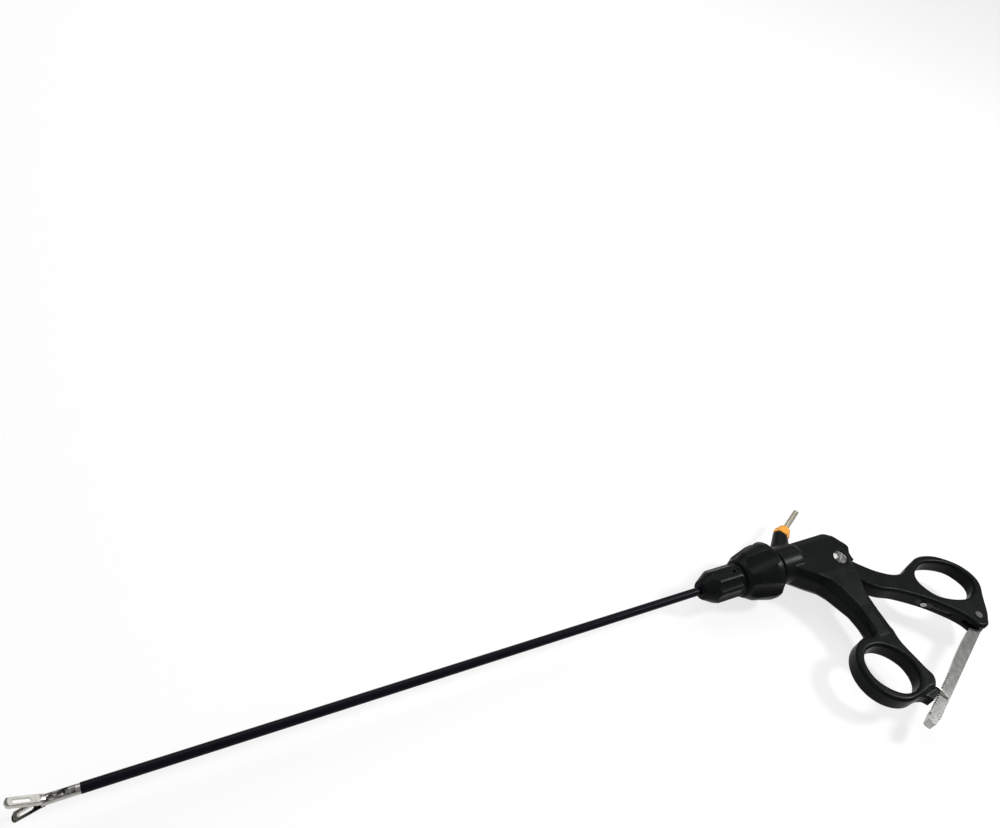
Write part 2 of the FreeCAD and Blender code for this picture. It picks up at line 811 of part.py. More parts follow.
def lead_post():
    collar_face = Part.makePolygon([
        vec(0, collar_across / math.sqrt(3) * math.cos(math.radians(60 * index)),
            collar_across / math.sqrt(3) * math.sin(math.radians(60 * index)))
        for index in range(7)
    ])
    hexagon = Part.Face(collar_face).extrude(vec(collar_hex_len, 0, 0))
    cone = Part.makeCone(collar_across / 2, collar_tip_r, collar_cone_len, vec(collar_hex_len, 0), AXIS_X)
    collar = hexagon.fuse(cone)
    collar_len = collar_hex_len + collar_cone_len
    collar = collar.cut(rod_along_x(lead_stem_r, 0, collar_len))
    stem = rod_along_x(lead_stem_r, -lead_stem_len, collar_len)
    post = rod_along_x(lead_pin_r, collar_len, collar_len + lead_pin_len)
    tip_edges = [edge for edge in post.Edges if edge.BoundBox.XMin > collar_len + lead_pin_len - 0.01]
    post = post.makeChamfer(lead_chamfer, tip_edges)
    slit_start = collar_len + lead_pin_len - lead_slit_len
    slit = block(slit_start, slit_start + 30, -lead_slit / 2, lead_slit / 2, -9, 9)
    cross_slit = block(slit_start, slit_start + 30, -9, 9, -lead_slit / 2, lead_slit / 2)
    lead_pin = stem.fuse(post).cut([slit, cross_slit])
    for shape, name in ((collar, "lead_collar"), (lead_pin, "lead_pin")):
        shape.rotate(ORIGIN, AXIS_Z, post_deg)
        shape.translate(vec(post_x, post_y))
        save(shape, name)
    contact = contact_bore(contact_r).cut(post_cylinder(lead_stem_r, -lead_stem_len, 3.0))
    lowest = min(contact.Solids, key=lambda solid: solid.BoundBox.YMin)
    save(lowest, "lead_contact")


# Pivot

def button_head(radius, rise, x, y, z):
    """A round head with a sloping shoulder that stands on the height z."""
    rim = rod_along_z(radius, z, z + rise / 2, x, y)
    return rim.fuse(Part.makeCone(radius, radius - rise, rise / 2, vec(x, y, z + rise / 2)))


def pivot_screw():
    head = button_head(screw_head_r, screw_head_rise, pivot_x, pivot_y, screw_seat)
    slot = block(-9, 9, -screw_slot / 2, screw_slot / 2, screw_seat + 0.8, 20)
    slot.rotate(ORIGIN, AXIS_Z, 40)
    slot.translate(vec(pivot_x, pivot_y))
    shank = rod_along_z(screw_r, nut_neck_start, screw_seat, pivot_x, pivot_y)
    tip = rod_along_z(nut_thread_r, -screw_seat, nut_neck_start, pivot_x, pivot_y)
    save(head.cut(slot).fuse([shank, tip]), "pivot_screw")
    nut_head = button_head(screw_head_r, screw_head_rise, pivot_x, pivot_y, screw_seat).mirror(ORIGIN, AXIS_Z)
    neck = rod_along_z(screw_r, -screw_seat, nut_neck_start, pivot_x, pivot_y)
    neck = neck.cut(rod_along_z(nut_thread_r, -screw_seat, nut_neck_start, pivot_x, pivot_y))
    save(nut_head.fuse(neck), "pivot_nut")


# Rear handle

def thumb_plate():
    """The thumb arm and its ring."""
    outline = [by_reach(*share) for share in (
        (0.078, 0.008),
        (0.182, -0.096),
        (0.251, -0.157),
        (0.400, -0.224),
        (0.559, -0.179),
        (0.659, -0.155),
        (0.771, -0.175),
        (0.877, -0.239),
        (0.962, -0.338),
        (0.988, -0.427),
        (0.889, -0.610),
        (0.811, -0.711),
        (0.748, -0.759),
        (0.688, -0.746),
        (0.651, -0.670),
        (0.523, -0.520),
        (0.307, -0.356),
        (0.124, -0.256),
        (0.043, -0.162),
        (-0.050, -0.065),
        (-0.043, 0.016),
        (0.016, 0.049),
    )]
    hole = oval_face(by_reach(thumb_hole_right, thumb_hole_up), thumb_hole_long * handle_radius,
                     thumb_hole_short * handle_radius, thumb_hole_deg)
    return bevelled_plate(smooth_face(outline), hole, rear_half, ring_bevel)


def lever():
    """The short lever above the pivot, upright when the rod is at mid-stroke."""
    top = pivot_y + lever_arm + insert_half
    post = block(pivot_x - lever_half, pivot_x + lever_half, pivot_y, top, -lever_thick_half, lever_thick_half)
    return turned(post, pivot_x, pivot_y, handle_travel_deg / 2)


def insert_block():
    """The room for the metal insert, open towards the knob and upwards, before the lever leans."""
    y = pivot_y + lever_arm
    return block(pivot_x - 2 * lever_half, pivot_x + insert_half, y - insert_half, y + insert_half,
                 -insert_half, insert_half)


def rod_socket():
    y = pivot_y + lever_arm
    body = block(pivot_x - lever_half, pivot_x + insert_half, y - insert_half, y + insert_half,
                 -insert_half, insert_half)
    hollow_r = ball_r + ball_gap
    drop_in = rod_along_y(hollow_r, y - hollow_r, y + 2 * insert_half, pivot_x)
    neck_half = ball_neck_r + 2.5 * ball_gap
    neck_drop = ball_neck_r + lever_half * math.sin(math.radians(handle_travel_deg)) + ball_gap
    neck_room = block(pivot_x - 2 * lever_half, pivot_x, y - neck_drop, y + 2 * insert_half,
                      -neck_half, neck_half)
    body = body.cut([drop_in, neck_room])
    return turned(body, pivot_x, pivot_y, handle_travel_deg / 2)


def bar_slot():
    """The slot in the thumb arm's end where the bar turns on its pin, in the bar's frame."""
    half = bar_thick_half + bar_slot_gap
    return bar_frame(block(-7.0, 40.0, -5.4, 11.0, -half, half))


def spring_path():
    """Middle line of the leaf spring, from its screwed end to the bar's eye."""
    eye_x = bar_pin_x + (bar_eye_r + spring_gap + spring_thick / 2) * math.sin(math.radians(bar_deg + 180)) * -1
    eye_y = bar_pin_y + (bar_eye_r + spring_gap + spring_thick / 2) * math.cos(math.radians(bar_deg + 180))
    ends = [by_reach(0.417, -0.423), by_reach(0.502, -0.497), by_reach(0.605, -0.588)]
    path = [(end.x, end.y) for end in ends]
    return path + [(eye_x - 1.4, eye_y - 0.6), (eye_x + 1.6, eye_y + 0.8)]


def strip(points, thickness, half):
    """A flat strip of this thickness that follows the points."""
    pieces = []
    for start, end in zip(points, points[1:]):
        length = math.hypot(end[0] - start[0], end[1] - start[1])
        angle = math.degrees(math.atan2(end[1] - start[1], end[0] - start[0]))
        piece = block(0, length, -thickness / 2, thickness / 2, -half, half)
        piece.rotate(ORIGIN, AXIS_Z, angle)
        piece.translate(vec(*start))
        pieces.append(piece)
        pieces.append(rod_along_z(thickness / 2, -half, half, *end))
    return pieces[0].fuse(pieces[1:])


def rear_handle():
    hub = rod_along_z(rear_hub_r, -rear_half, rear_half, pivot_x, pivot_y)
    bore = rod_along_z(screw_r + running_gap, -20, 20, pivot_x, pivot_y)
    pin_bore = rod_along_z(bar_pin_r, -20, 20, bar_pin_x, bar_pin_y)
    seat = turned(insert_block(), pivot_x, pivot_y, handle_travel_deg / 2)
    body = thumb_plate().fuse([hub, lever()]).cut([seat, bore, bar_slot(), pin_bore])
    groove = strip(spring_path(), 3.2 * spring_thick, spring_half + bar_slot_gap)
    pad = strip(spring_path()[:2], 2.4 * spring_thick, spring_pad_half + bar_slot_gap)
    body = body.cut([groove, pad, spring_screw_shape()])
    save(body, "rear_handle")
    save(rod_socket(), "rod_socket")


def spring_screw_frame():
    path = spring_path()
    x = path[0][0] * 0.55 + path[1][0] * 0.45
    y = path[0][1] * 0.55 + path[1][1] * 0.45
    slope = math.atan2(path[1][1] - path[0][1], path[1][0] - path[0][0])
    inward = vec(-math.sin(slope), math.cos(slope))
    return vec(x, y), inward


def spring_screw_shape():
    centre, inward = spring_screw_frame()
    shank = Part.makeCylinder(spring_screw_r, 5.0, centre - inward * (spring_thick / 2), inward)
    head = Part.makeCylinder(spring_screw_head_r, 0.9, centre - inward * (0.9 + spring_thick / 2), inward)
    return shank.fuse(head)


def leaf_spring():
    path = spring_path()
    spring = strip(path, spring_thick, spring_half)
    pad = strip(path[:2], spring_thick, spring_pad_half)
    spring = spring.fuse(pad).cut(spring_screw_shape())
    save(spring, "leaf_spring")
    save(spring_screw_shape(), "spring_screw")


# Ratchet

def bar_pin():
    shank = rod_along_z(bar_pin_r, -rear_half, rear_half, bar_pin_x, bar_pin_y)
    near = rod_along_z(bar_pin_head_r, rear_half, rear_half + bar_pin_head_rise, bar_pin_x, bar_pin_y)
    far = near.mirror(ORIGIN, AXIS_Z)
    save(shank.fuse([near, far]), "bar_pin")


def bar_blank():
    """The flat bar before its teeth are cut, bowed a little between the eye and the teeth."""
    end = bar_reach + bar_tail - tab_len / 2
    bow_start = bar_eye_r * 1.4
    bow_end = closed_reach - 2 * bar_tooth_reserve
    bow = Part.Arc(vec(bow_start, 0), vec((bow_start + bow_end) / 2, -bar_bow), vec(bow_end, 0)).toShape()
    outline = [bow]
    corners = [
        (bow_end, 0),
        (end, 0),
        (end, bar_width),
        (bar_eye_r * 2.0, bar_width),
        (-bar_eye_r * 0.4, bar_eye_r * 0.9),
        (0, -bar_eye_r * 0.55),
        (bow_start, 0),
    ]
    outline += [line_edge(first, second) for first, second in zip(corners, corners[1:])]
    face = Part.Face(Part.Wire(outline))
    face.translate(vec(0, 0, -bar_thick_half))
    return face.extrude(vec(0, 0, 2 * bar_thick_half))


def bar_tab():
    """The finger tab, folded to the far side at the bar's tail."""
    end = bar_reach + bar_tail
    tab = block(end - tab_len, end, tab_start, tab_start + tab_width, bar_thick_half - tab_depth, bar_thick_half)
    across = [edge for edge in tab.Edges if edge.BoundBox.ZLength > tab_depth - 0.1]
    return tab.makeFillet(tab_round, across)


def ratchet_bar():
    """The bar, drawn in its own frame: the toothed edge is the line Y = 0 and the body is at Y > 0."""
    eye = rod_along_z(bar_eye_r, -bar_thick_half, bar_thick_half, 0, 0)
    bar = eye.fuse([bar_blank(), bar_tab()])
    teeth = []
    first = closed_reach - bar_tooth_reserve
    for index in range(bar_tooth_count):
        x = first + index * bar_tooth_pitch
        teeth.append(plate([
            (x, -1.0),
            (x, bar_tooth_depth),
            (x + bar_tooth_pitch * 0.85, 0),
            (x + bar_tooth_pitch * 0.85, -1.0),
        ], -20, 20))
    pin_hole = rod_along_z(bar_pin_r + running_gap, -20, 20, 0, 0)
    save(bar_frame(bar.cut(teeth + [pin_hole])), "ratchet_bar")


def catch_rivet_group():
    """Two rivets that hold the catch plate to the foot, in the bar's frame."""
    start = bar_reach - catch_thick / 2
    rivets = []
    for side in (-1, 1):
        rivets.append(rod_along_x(catch_rivet_r, start, start + catch_thick + 4.0, -catch_above * 0.55,
                                  side * catch_half * 0.55))
    return rivets[0].fuse(rivets[1])


def catch_blank():
    """The catch plate before its mouth is cut, in the bar's frame."""
    start = bar_reach - catch_thick / 2
    corners = [
        vec(start, -catch_above, -catch_half),
        vec(start, -catch_above, catch_half),
        vec(start, 0, catch_half),
        vec(start, catch_below, catch_tip_half),
        vec(start, catch_below, -catch_tip_half),
        vec(start, 0, -catch_half),
    ]
    face = Part.Face(Part.makePolygon(corners + corners[:1]))
    return face.extrude(vec(catch_thick, 0, 0))


def ratchet_catch():
    leg_half = bar_thick_half + catch_leg_gap
    mouth = block(0, 2 * bar_reach, -catch_gap, 2 * catch_below, -leg_half, leg_half)
    save(bar_frame(catch_blank().cut([mouth, catch_rivet_group()])), "ratchet_catch")
    save(bar_frame(catch_rivet_group()), "catch_rivets")


def main():
    os.makedirs("parts", exist_ok=True)
    jaws()
    clevis()
    jaw_fasteners()
    links()
    push_rod()
    shaft()
    rotation_knob()
    rotation_hub()
    front_handle()
    lead_post()
    pivot_screw()
    rear_handle()
    leaf_spring()
    bar_pin()
    ratchet_bar()
    ratchet_catch()
    print("handle travel", handle_travel_deg, "stroke", stroke, "link angle", link_open_deg)
    print("ball", ball_x, "bar pin", bar_pin_x, bar_pin_y, "catch", catch_x, catch_y, "bar", bar_deg, bar_reach)


main()
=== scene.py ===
import json
import math

import bmesh
import bpy
from mathutils import Matrix, Vector


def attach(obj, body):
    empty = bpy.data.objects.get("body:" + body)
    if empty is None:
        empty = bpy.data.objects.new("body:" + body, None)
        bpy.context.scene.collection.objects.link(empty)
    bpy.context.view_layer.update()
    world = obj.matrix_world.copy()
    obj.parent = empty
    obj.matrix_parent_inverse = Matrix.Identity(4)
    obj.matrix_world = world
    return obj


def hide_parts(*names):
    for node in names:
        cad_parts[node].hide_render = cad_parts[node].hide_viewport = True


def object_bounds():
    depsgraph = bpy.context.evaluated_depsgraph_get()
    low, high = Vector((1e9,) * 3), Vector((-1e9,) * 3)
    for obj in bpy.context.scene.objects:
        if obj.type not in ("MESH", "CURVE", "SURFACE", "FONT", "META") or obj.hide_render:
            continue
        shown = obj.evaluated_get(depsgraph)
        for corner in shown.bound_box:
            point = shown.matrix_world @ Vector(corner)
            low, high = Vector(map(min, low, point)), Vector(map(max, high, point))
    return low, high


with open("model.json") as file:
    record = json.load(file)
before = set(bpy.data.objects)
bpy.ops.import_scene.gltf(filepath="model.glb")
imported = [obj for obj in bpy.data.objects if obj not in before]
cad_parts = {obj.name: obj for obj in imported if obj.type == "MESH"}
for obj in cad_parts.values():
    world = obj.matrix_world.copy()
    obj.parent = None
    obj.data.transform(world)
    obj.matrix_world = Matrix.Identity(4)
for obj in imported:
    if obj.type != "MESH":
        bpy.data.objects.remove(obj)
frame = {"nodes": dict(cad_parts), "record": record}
cad_low, cad_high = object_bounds()

# Camera: its place and the directions of its picture's right and up sides, in the row frame
CAMERA_PLACE = Vector((-0.307, -0.170, 0.400))
CAMERA_RIGHT = Vector((0.88842, -0.40808, 0.21021))
CAMERA_UP = Vector((0.16177, 0.70689, 0.68858))
FOCAL_PX = 850.0
IMAGE_WIDTH_PX = 1000.0
SENSOR_MM = 36.0
CLIP_NEAR = 0.01
CLIP_FAR = 20.0

# Floor, in metres, and the share of its own glow where a camera or a reflection sees it
FLOOR_GAP = 0.0004
FLOOR_HALF = 6.0
FLOOR_TONE = 0.84
FLOOR_ROUGHNESS = 0.9
FLOOR_GLOSS = 0.1
FLOOR_GLOW = 0.75

# Lamps: name, place, target, size in metres and power in watts
WORLD_LEVEL = 0.3
LAMPS = [
    ("key", (0.1, 1.1, 1.3), (0.0, 0.0, 0.0), 1.6, 16.0),
    ("fill", (-1.2, -0.6, 1.2), (-0.1, 0.0, 0.0), 1.4, 4.0),
    ("back", (1.22, 0.40, 1.06), (0.1, 0.0, 0.0), 1.0, 0.3),
    ("barrel_strip", (0.83, -0.24, 0.93), (0.07, 0.0, 0.0), 0.26, 14.0),
    ("jaw_strip", (0.74, 0.60, 0.83), (-0.357, 0.0, 0.0), 0.6, 0.85),
]

MM = 0.001
WHITE = (1.0, 1.0, 1.0, 1.0)
SMOOTH_DEG = 32.0
PLASTIC_GLOSS = 0.05
DRIFT_SCALE = 45.0
SHEEN_SCALE = 160.0
GRAIN_STRENGTH = 0.35
TONE_SCALE = 300.0
BRUSH_STRENGTH = 0.5
# Painted shade on the jaws' toothed side: the scale of its mottle, and its dark and light tones
TOOTHED_SHADE_SCALE = 900.0
TOOTHED_SHADE_DARK = (0.020, 0.018, 0.016)
TOOTHED_SHADE_LIGHT = (0.075, 0.070, 0.062)
# Where a texture's value starts and stops to count, and the same for how far a face turns to the
# teeth, where the painted shade goes
TEXTURE_RANGE = (0.3, 0.7)
TOOTHED_RANGE = (0.25, 0.55)


def make_camera():
    data = bpy.data.cameras.new("camera")
    data.sensor_width = SENSOR_MM
    data.lens = FOCAL_PX / IMAGE_WIDTH_PX * SENSOR_MM
    data.clip_start = CLIP_NEAR
    data.clip_end = CLIP_FAR
    camera = bpy.data.objects.new("camera", data)
    bpy.context.scene.collection.objects.link(camera)
    right = CAMERA_RIGHT.normalized()
    back = right.cross(CAMERA_UP).normalized()
    up = back.cross(right)
    turn = Matrix((right, up, back)).transposed()
    camera.matrix_world = Matrix.Translation(CAMERA_PLACE) @ turn.to_4x4()
    bpy.context.scene.camera = camera


def node_tree(name):
    material = bpy.data.materials.new(name)
    material.use_nodes = True
    tree = material.node_tree
    return material, tree, tree.nodes["Principled BSDF"]


def object_coordinates(tree, stretch=(1.0, 1.0, 1.0)):
    place = tree.nodes.new("ShaderNodeTexCoord")
    mapping = tree.nodes.new("ShaderNodeMapping")
    mapping.inputs["Scale"].default_value = stretch
    tree.links.new(place.outputs["Object"], mapping.inputs["Vector"])
    return mapping.outputs["Vector"]


def noise(tree, vector, scale, detail=3.0, roughness=0.5):
    texture = tree.nodes.new("ShaderNodeTexNoise")
    texture.inputs["Scale"].default_value = scale
    texture.inputs["Detail"].default_value = detail
    texture.inputs["Roughness"].default_value = roughness
    tree.links.new(vector, texture.inputs["Vector"])
    return texture.outputs["Fac"]


def spread(tree, value, low, high, counted=TEXTURE_RANGE):
    """Maps a texture's value to the range from low to high."""
    node = tree.nodes.new("ShaderNodeMapRange")
    node.inputs["From Min"].default_value = counted[0]
    node.inputs["From Max"].default_value = counted[1]
    node.inputs["To Min"].default_value = low
    node.inputs["To Max"].default_value = high
    tree.links.new(value, node.inputs["Value"])
    return node.outputs["Result"]


def colour_between(tree, value, dark, light):
    ramp = tree.nodes.new("ShaderNodeValToRGB")
    ramp.color_ramp.elements[0].position = TEXTURE_RANGE[0]
    ramp.color_ramp.elements[1].position = TEXTURE_RANGE[1]
    ramp.color_ramp.elements[0].color = (*dark, 1.0)
    ramp.color_ramp.elements[1].color = (*light, 1.0)
    tree.links.new(value, ramp.inputs["Fac"])
    return ramp.outputs["Color"]


def bump(tree, value, strength, height):
    node = tree.nodes.new("ShaderNodeBump")
    node.inputs["Strength"].default_value = strength
    node.inputs["Distance"].default_value = height
    tree.links.new(value, node.inputs["Height"])
    return node.outputs["Normal"]


def plastic(name, dark, light, rough_low, rough_high, grain_scale, grain_height):
    """Moulded plastic: a slow drift of colour, a patchy sheen and a fine grain."""
    material, tree, shader = node_tree(name)
    vector = object_coordinates(tree)
    drift = noise(tree, vector, DRIFT_SCALE)
    sheen = noise(tree, vector, SHEEN_SCALE, 4.0)
    grain = noise(tree, vector, grain_scale, 2.0)
    tree.links.new(colour_between(tree, drift, dark, light), shader.inputs["Base Color"])
    tree.links.new(spread(tree, sheen, rough_low, rough_high), shader.inputs["Roughness"])
    tree.links.new(bump(tree, grain, GRAIN_STRENGTH, grain_height), shader.inputs["Normal"])
    shader.inputs["Specular IOR Level"].default_value = PLASTIC_GLOSS
    return material


def steel(name, dark, light, rough_low, rough_high, stretch, brush_height):
    """Brushed metal: fine scratches along one direction, over a slow drift of tone."""
    material, tree, shader = node_tree(name)
    shader.inputs["Metallic"].default_value = 1.0
    brushed = noise(tree, object_coordinates(tree, stretch), 1.0, 4.0, 0.6)
    drift = noise(tree, object_coordinates(tree), TONE_SCALE, 3.0)
    tree.links.new(colour_between(tree, drift, dark, light), shader.inputs["Base Color"])
    tree.links.new(spread(tree, brushed, rough_low, rough_high), shader.inputs["Roughness"])
    tree.links.new(bump(tree, brushed, BRUSH_STRENGTH, brush_height), shader.inputs["Normal"])
    return material


def toothed_steel(name, toothed_side):
    """Jaw steel: bright outside, with painted shade, dark and mottled, in the colour of the side that
    holds the teeth.
    """
    material = steel(name, *TOOTHED_STEEL)
    tree = material.node_tree
    shader = tree.nodes["Principled BSDF"]
    bright = shader.inputs["Base Color"].links[0].from_socket
    # Painted shade: faces turned towards the teeth take a dark mottled colour in place of the bright
    # steel
    place = tree.nodes.new("ShaderNodeTexCoord")
    facing = tree.nodes.new("ShaderNodeVectorMath")
    facing.operation = "DOT_PRODUCT"
    facing.inputs[1].default_value = toothed_side
    tree.links.new(place.outputs["Normal"], facing.inputs[0])
    share = spread(tree, facing.outputs["Value"], 0.0, 1.0, TOOTHED_RANGE)
    shade_mottle = noise(tree, object_coordinates(tree), TOOTHED_SHADE_SCALE, 4.0)
    dark = colour_between(tree, shade_mottle, TOOTHED_SHADE_DARK, TOOTHED_SHADE_LIGHT)
    mix = tree.nodes.new("ShaderNodeMix")
    mix.data_type = "RGBA"
    tree.links.new(share, mix.inputs["Factor"])
    tree.links.new(bright, mix.inputs["A"])
    tree.links.new(dark, mix.inputs["B"])
    tree.links.new(mix.outputs["Result"], shader.inputs["Base Color"])
    return material


def floor_material():
    """Pale floor that shows near white to the camera and keeps a soft shadow."""
    material, tree, shader = node_tree("floor")
    shader.inputs["Base Color"].default_value = (FLOOR_TONE, FLOOR_TONE, FLOOR_TONE, 1.0)
    shader.inputs["Roughness"].default_value = FLOOR_ROUGHNESS
    shader.inputs["Specular IOR Level"].default_value = FLOOR_GLOSS
    glow = tree.nodes.new("ShaderNodeEmission")
    glow.inputs["Color"].default_value = WHITE
    path = tree.nodes.new("ShaderNodeLightPath")
    reflected = tree.nodes.new("ShaderNodeMath")
    reflected.operation = "MAXIMUM"
    seen = tree.nodes.new("ShaderNodeMath")
    seen.operation = "MAXIMUM"
    share = tree.nodes.new("ShaderNodeMath")
    share.operation = "MULTIPLY"
    share.inputs[1].default_value = FLOOR_GLOW
    mix = tree.nodes.new("ShaderNodeMixShader")
    tree.links.new(path.outputs["Is Glossy Ray"], reflected.inputs[0])
    tree.links.new(path.outputs["Is Transmission Ray"], reflected.inputs[1])
    tree.links.new(path.outputs["Is Camera Ray"], seen.inputs[0])
    tree.links.new(reflected.outputs[0], seen.inputs[1])
    tree.links.new(seen.outputs[0], share.inputs[0])
    tree.links.new(share.outputs[0], mix.inputs["Fac"])
    tree.links.new(shader.outputs["BSDF"], mix.inputs[1])
    tree.links.new(glow.outputs["Emission"], mix.inputs[2])
    output = tree.nodes["Material Output"]
    tree.links.new(mix.outputs["Shader"], output.inputs["Surface"])
    return material


def make_floor():
    low = cad_low.z - FLOOR_GAP
    corners = [(x, y, low) for x, y in ((-1, -1), (1, -1), (1, 1), (-1, 1))]
    mesh = bpy.data.meshes.new("floor")
    mesh.from_pydata([(x * FLOOR_HALF, y * FLOOR_HALF, z) for x, y, z in corners], [], [(0, 1, 2, 3)])
    floor = bpy.data.objects.new("floor", mesh)
    bpy.context.scene.collection.objects.link(floor)
    mesh.materials.append(floor_material())


def area_light(name, place, target, size, power):
    data = bpy.data.lights.new(name, "AREA")
    data.shape = "DISK"
    data.size = size
    data.energy = power
    light = bpy.data.objects.new(name, data)
    bpy.context.scene.collection.objects.link(light)
    light.location = place
    direction = Vector(target) - Vector(place)
    light.rotation_mode = "QUATERNION"
    light.rotation_quaternion = direction.to_track_quat("-Z", "Y")


def make_light():
    world = bpy.data.worlds.new("studio")
    world.use_nodes = True
    background = world.node_tree.nodes["Background"]
    background.inputs["Color"].default_value = WHITE
    background.inputs["Strength"].default_value = WORLD_LEVEL
    bpy.context.scene.world = world
    for lamp in LAMPS:
        area_light(*lamp)
    bpy.context.scene.view_settings.view_transform = "Standard"


# Plastics: dark and light tone, least and most roughness, the grain's scale and height
PLASTICS = {
    "black_plastic": ((0.0036, 0.0047, 0.0043), (0.0052, 0.0066, 0.0060), 0.28, 0.38, 2600.0, 0.00003),
    "black_sleeve": ((0.0030, 0.0032, 0.0055), (0.0040, 0.0043, 0.0072), 0.26, 0.34, 900.0, 0.00002),
    "dark_ferrule": ((0.005, 0.005, 0.007), (0.008, 0.008, 0.011), 0.32, 0.4, 1800.0, 0.00002),
    "amber_plastic": ((0.62, 0.25, 0.035), (0.80, 0.36, 0.06), 0.22, 0.32, 1500.0, 0.00002),
    "seal_rubber": ((0.01, 0.01, 0.01), (0.015, 0.015, 0.015), 0.6, 0.7, 2000.0, 0.00002),
    "washer_plastic": ((0.62, 0.61, 0.57), (0.7, 0.69, 0.65), 0.4, 0.5, 2000.0, 0.00002),
}

# How finely the scratches run along each axis
ALONG_JAW = (300.0, 5000.0, 5000.0)
ALONG_LINK = (600.0, 4000.0, 4000.0)
ALONG_ROD = (200.0, 4000.0, 4000.0)
ALONG_PIN = (800.0, 2500.0, 2500.0)

# Metals: dark and light tone, least and most roughness, the scratches' scale and height
STEELS = {
    "jaw_steel": ((0.30, 0.29, 0.27), (0.42, 0.41, 0.385), 0.22, 0.36, ALONG_JAW, 0.00001),
    "link_steel": ((0.08, 0.078, 0.075), (0.15, 0.145, 0.14), 0.28, 0.42, ALONG_LINK, 0.00001),
    "rod_steel": ((0.30, 0.30, 0.30), (0.40, 0.40, 0.40), 0.24, 0.36, ALONG_ROD, 0.00001),
    "nickel": ((0.46, 0.43, 0.36), (0.58, 0.55, 0.47), 0.16, 0.26, ALONG_PIN, 0.000006),
    "bright_screw": ((0.22, 0.22, 0.215), (0.34, 0.34, 0.33), 0.12, 0.2, (2500.0,) * 3, 0.000005),
    "bar_steel": ((0.27, 0.27, 0.26), (0.40, 0.40, 0.38), 0.14, 0.22, (3000.0,) * 3, 0.00001),
}
# Leaf spring's steel, near black: painted shade of the recess the spring sits in
SPRING_STEEL_PAINTED_SHADE = ((0.020, 0.020, 0.020), (0.035, 0.035, 0.034), 0.35, 0.5, (900.0,) * 3, 0.00001)
# Ratchet catch's steel, far paler than the other steels: painted highlight, so that its edge shows as
# a light line
CATCH_STEEL_PAINTED_HIGHLIGHT = ((0.60, 0.60, 0.57), (0.72, 0.72, 0.69), 0.2, 0.3, (1500.0,) * 3, 0.00001)
TOOTHED_STEEL = ((0.42, 0.41, 0.375), (0.54, 0.53, 0.49), 0.20, 0.32, ALONG_JAW, 0.00001)

MATERIALS = {name: plastic(name, *row) for name, row in PLASTICS.items()}
MATERIALS.update({name: steel(name, *row) for name, row in STEELS.items()})
OWN_MATERIALS = {
    "jaw_upper": toothed_steel("jaw_upper_steel", (-0.5, 0.0, -0.866)),
    "jaw_lower": toothed_steel("jaw_lower_steel", (-0.5, 0.0, 0.866)),
    "leaf_spring": steel("spring_steel_painted_shade", *SPRING_STEEL_PAINTED_SHADE),
    "ratchet_catch": steel("catch_steel_painted_highlight", *CATCH_STEEL_PAINTED_HIGHLIGHT),
}
SLOTS = {part["node"]: part["material_slot"] for part in frame["record"]["subparts"]}
BODIES = {}
for body, nodes in frame["record"]["behaviour"]["bodies"].items():
    BODIES.update({node: body for node in nodes})


def dress_cad_nodes():
    for name, node in frame["nodes"].items():
        node.data.materials.clear()
        node.data.materials.append(OWN_MATERIALS.get(name, MATERIALS[SLOTS[name]]))
        node.data.shade_smooth()
        node.data.set_sharp_from_angle(angle=math.radians(SMOOTH_DEG))


def add_prism(shape, outline, half):
    """Adds a flat plate with this outline, in millimetres, to a shape."""
    rings = []
    for z in (-half, half):
        rings.append([shape.verts.new((x * MM, y * MM, z * MM)) for x, y in outline])
    shape.faces.new(reversed(rings[0]))
    shape.faces.new(rings[1])
    for index in range(len(outline)):
        after = (index + 1) % len(outline)
        shape.faces.new((rings[0][index], rings[0][after], rings[1][after], rings[1][index]))


def moulded(name, voxel, passes, plates=()):
    """A copy of a solid with every edge softened, as a moulding has them, in the solid's place.

    The voxel is in millimetres; each smoothing pass rounds the edges a little more.
    """
    shape = bmesh.new()
    shape.from_mesh(frame["nodes"][name].data)
    for outline, half in plates:
        add_prism(shape, outline, half)
    bmesh.ops.remove_doubles(shape, verts=shape.verts, dist=0.001 * MM)
    mesh = bpy.data.meshes.new(name)
    shape.to_mesh(mesh)
    shape.free()
    piece = bpy.data.objects.new(name + "_moulded", mesh)
    bpy.context.scene.collection.objects.link(piece)
    remesh = piece.modifiers.new("remesh", "REMESH")
    remesh.mode = "VOXEL"
    remesh.voxel_size = voxel * MM
    smooth = piece.modifiers.new("smooth", "SMOOTH")
    smooth.factor = 0.5
    smooth.iterations = passes
    graph = bpy.context.evaluated_depsgraph_get()
    baked = bpy.data.meshes.new_from_object(piece.evaluated_get(graph))
    piece.modifiers.clear()
    piece.data = baked
    baked.materials.clear()
    baked.materials.append(MATERIALS[SLOTS[name]])
    baked.shade_smooth()
    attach(piece, BODIES[name])
    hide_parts(name)


# The flat web between the grip's back and the finger ring, in millimetres
WEB_OUTLINE = [(88.0, -60.0), (101.8, -60.0), (102.4, -48.0), (103.6, -36.0), (92.0, -34.0)]
WEB_HALF = 5.8

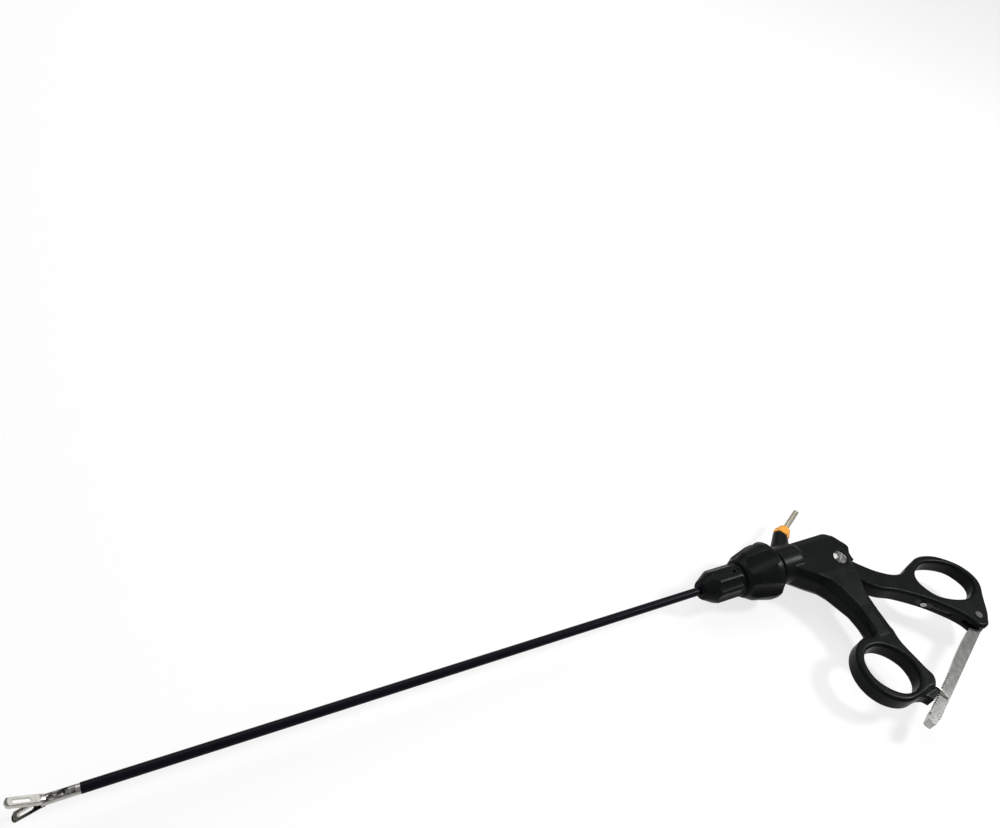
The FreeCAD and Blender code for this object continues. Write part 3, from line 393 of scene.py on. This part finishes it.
# The lead post: its seat on the boss, its direction, and its forms along it, in millimetres
POST_SEAT = Vector((79.2, 18.6, 0.0)) * MM
POST_DEG = 28.5
COLLAR_HEX = [(0.0, 4.6), (0.5, 5.3), (4.4, 5.3), (4.9, 4.7)]
COLLAR_DOME = [(4.4, 4.4), (5.6, 4.3), (6.6, 3.7), (7.0, 3.9), (7.5, 3.8), (8.0, 3.1), (8.6, 2.7)]
PIN_CORE = [(0.0, 1.2), (28.2, 1.2)]
PIN_R = 2.0
PIN_SLIT_HALF = 0.2
PIN_FROM = 8.4
PIN_END = 28.6
PIN_CHAMFER = 0.5
ROUND_SIDES = 48
HEX_SIDES = 6
PRONG_STEPS = 8
PRONGS = 4
ROUNDING_STEPS = 3
COLLAR_ROUNDING = 0.2
PIN_ROUNDING = 0.06


def post_place():
    """The frame of the lead post: its own X runs along the post."""
    return Matrix.Translation(POST_SEAT) @ Matrix.Rotation(math.radians(POST_DEG), 4, "Z")


def add_lathe(shape, profile, sides):
    """Adds a closed turned form along X; the profile holds (along, radius) in millimetres."""
    rings = []
    for along, radius in profile:
        ring = []
        for index in range(sides):
            angle = 2 * math.pi * index / sides
            point = (along * MM, radius * MM * math.cos(angle), radius * MM * math.sin(angle))
            ring.append(shape.verts.new(point))
        rings.append(ring)
    for ring, following in zip(rings, rings[1:]):
        for index in range(sides):
            after = (index + 1) % sides
            shape.faces.new((ring[index], ring[after], following[after], following[index]))
    shape.faces.new(reversed(rings[0]))
    shape.faces.new(rings[-1])


def add_quarter(shape, turn):
    """Adds one of the split pin's four prongs, with its tip chamfered."""
    start = math.asin(PIN_SLIT_HALF / PIN_R)
    flat = PIN_R * math.cos(start)
    arc = []
    for index in range(PRONG_STEPS + 1):
        angle = start + (math.pi / 2 - 2 * start) * index / PRONG_STEPS
        arc.append((PIN_R * math.cos(angle), PIN_R * math.sin(angle)))
    section = [(PIN_SLIT_HALF, PIN_SLIT_HALF), (flat, PIN_SLIT_HALF)] + arc[1:]
    rings = []
    tip = 1.0 - PIN_CHAMFER / PIN_R
    for along, size in ((PIN_FROM, 1.0), (PIN_END - PIN_CHAMFER, 1.0), (PIN_END, tip)):
        ring = []
        for y, z in section:
            point = Vector((along, y * size, z * size)) * MM
            point.rotate(Matrix.Rotation(turn, 3, "X"))
            ring.append(shape.verts.new(point))
        rings.append(ring)
    for ring, following in zip(rings, rings[1:]):
        for index in range(len(section)):
            after = (index + 1) % len(section)
            shape.faces.new((ring[index], ring[after], following[after], following[index]))
    shape.faces.new(reversed(rings[0]))
    shape.faces.new(rings[-1])


def post_piece(name, fill, node, bevel):
    """A piece of the lead post, in its solid's place, with its edges rounded by millimetres."""
    shape = bmesh.new()
    fill(shape)
    bmesh.ops.recalc_face_normals(shape, faces=shape.faces)
    shape.transform(post_place())
    mesh = bpy.data.meshes.new(name)
    shape.to_mesh(mesh)
    shape.free()
    piece = bpy.data.objects.new(name, mesh)
    bpy.context.scene.collection.objects.link(piece)
    mesh.materials.append(MATERIALS[SLOTS[node]])
    mesh.shade_smooth()
    mesh.set_sharp_from_angle(angle=math.radians(SMOOTH_DEG))
    rounding = piece.modifiers.new("rounding", "BEVEL")
    rounding.width = bevel * MM
    rounding.segments = ROUNDING_STEPS
    rounding.angle_limit = math.radians(SMOOTH_DEG)
    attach(piece, BODIES[node])
    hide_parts(node)


def make_lead_post():
    def collar(shape):
        add_lathe(shape, COLLAR_HEX, HEX_SIDES)
        add_lathe(shape, COLLAR_DOME, ROUND_SIDES)

    def split_pin(shape):
        add_lathe(shape, PIN_CORE, ROUND_SIDES)
        for index in range(PRONGS):
            add_quarter(shape, index * math.pi / 2)

    post_piece("collar", collar, "lead_collar", COLLAR_ROUNDING)
    post_piece("split_pin", split_pin, "lead_pin", PIN_ROUNDING)


make_camera()
make_floor()
make_light()
dress_cad_nodes()
moulded("front_handle", 0.4, 14, [(WEB_OUTLINE, WEB_HALF)])
moulded("rear_handle", 0.4, 12)
moulded("rotation_knob", 0.3, 5)
make_lead_post()
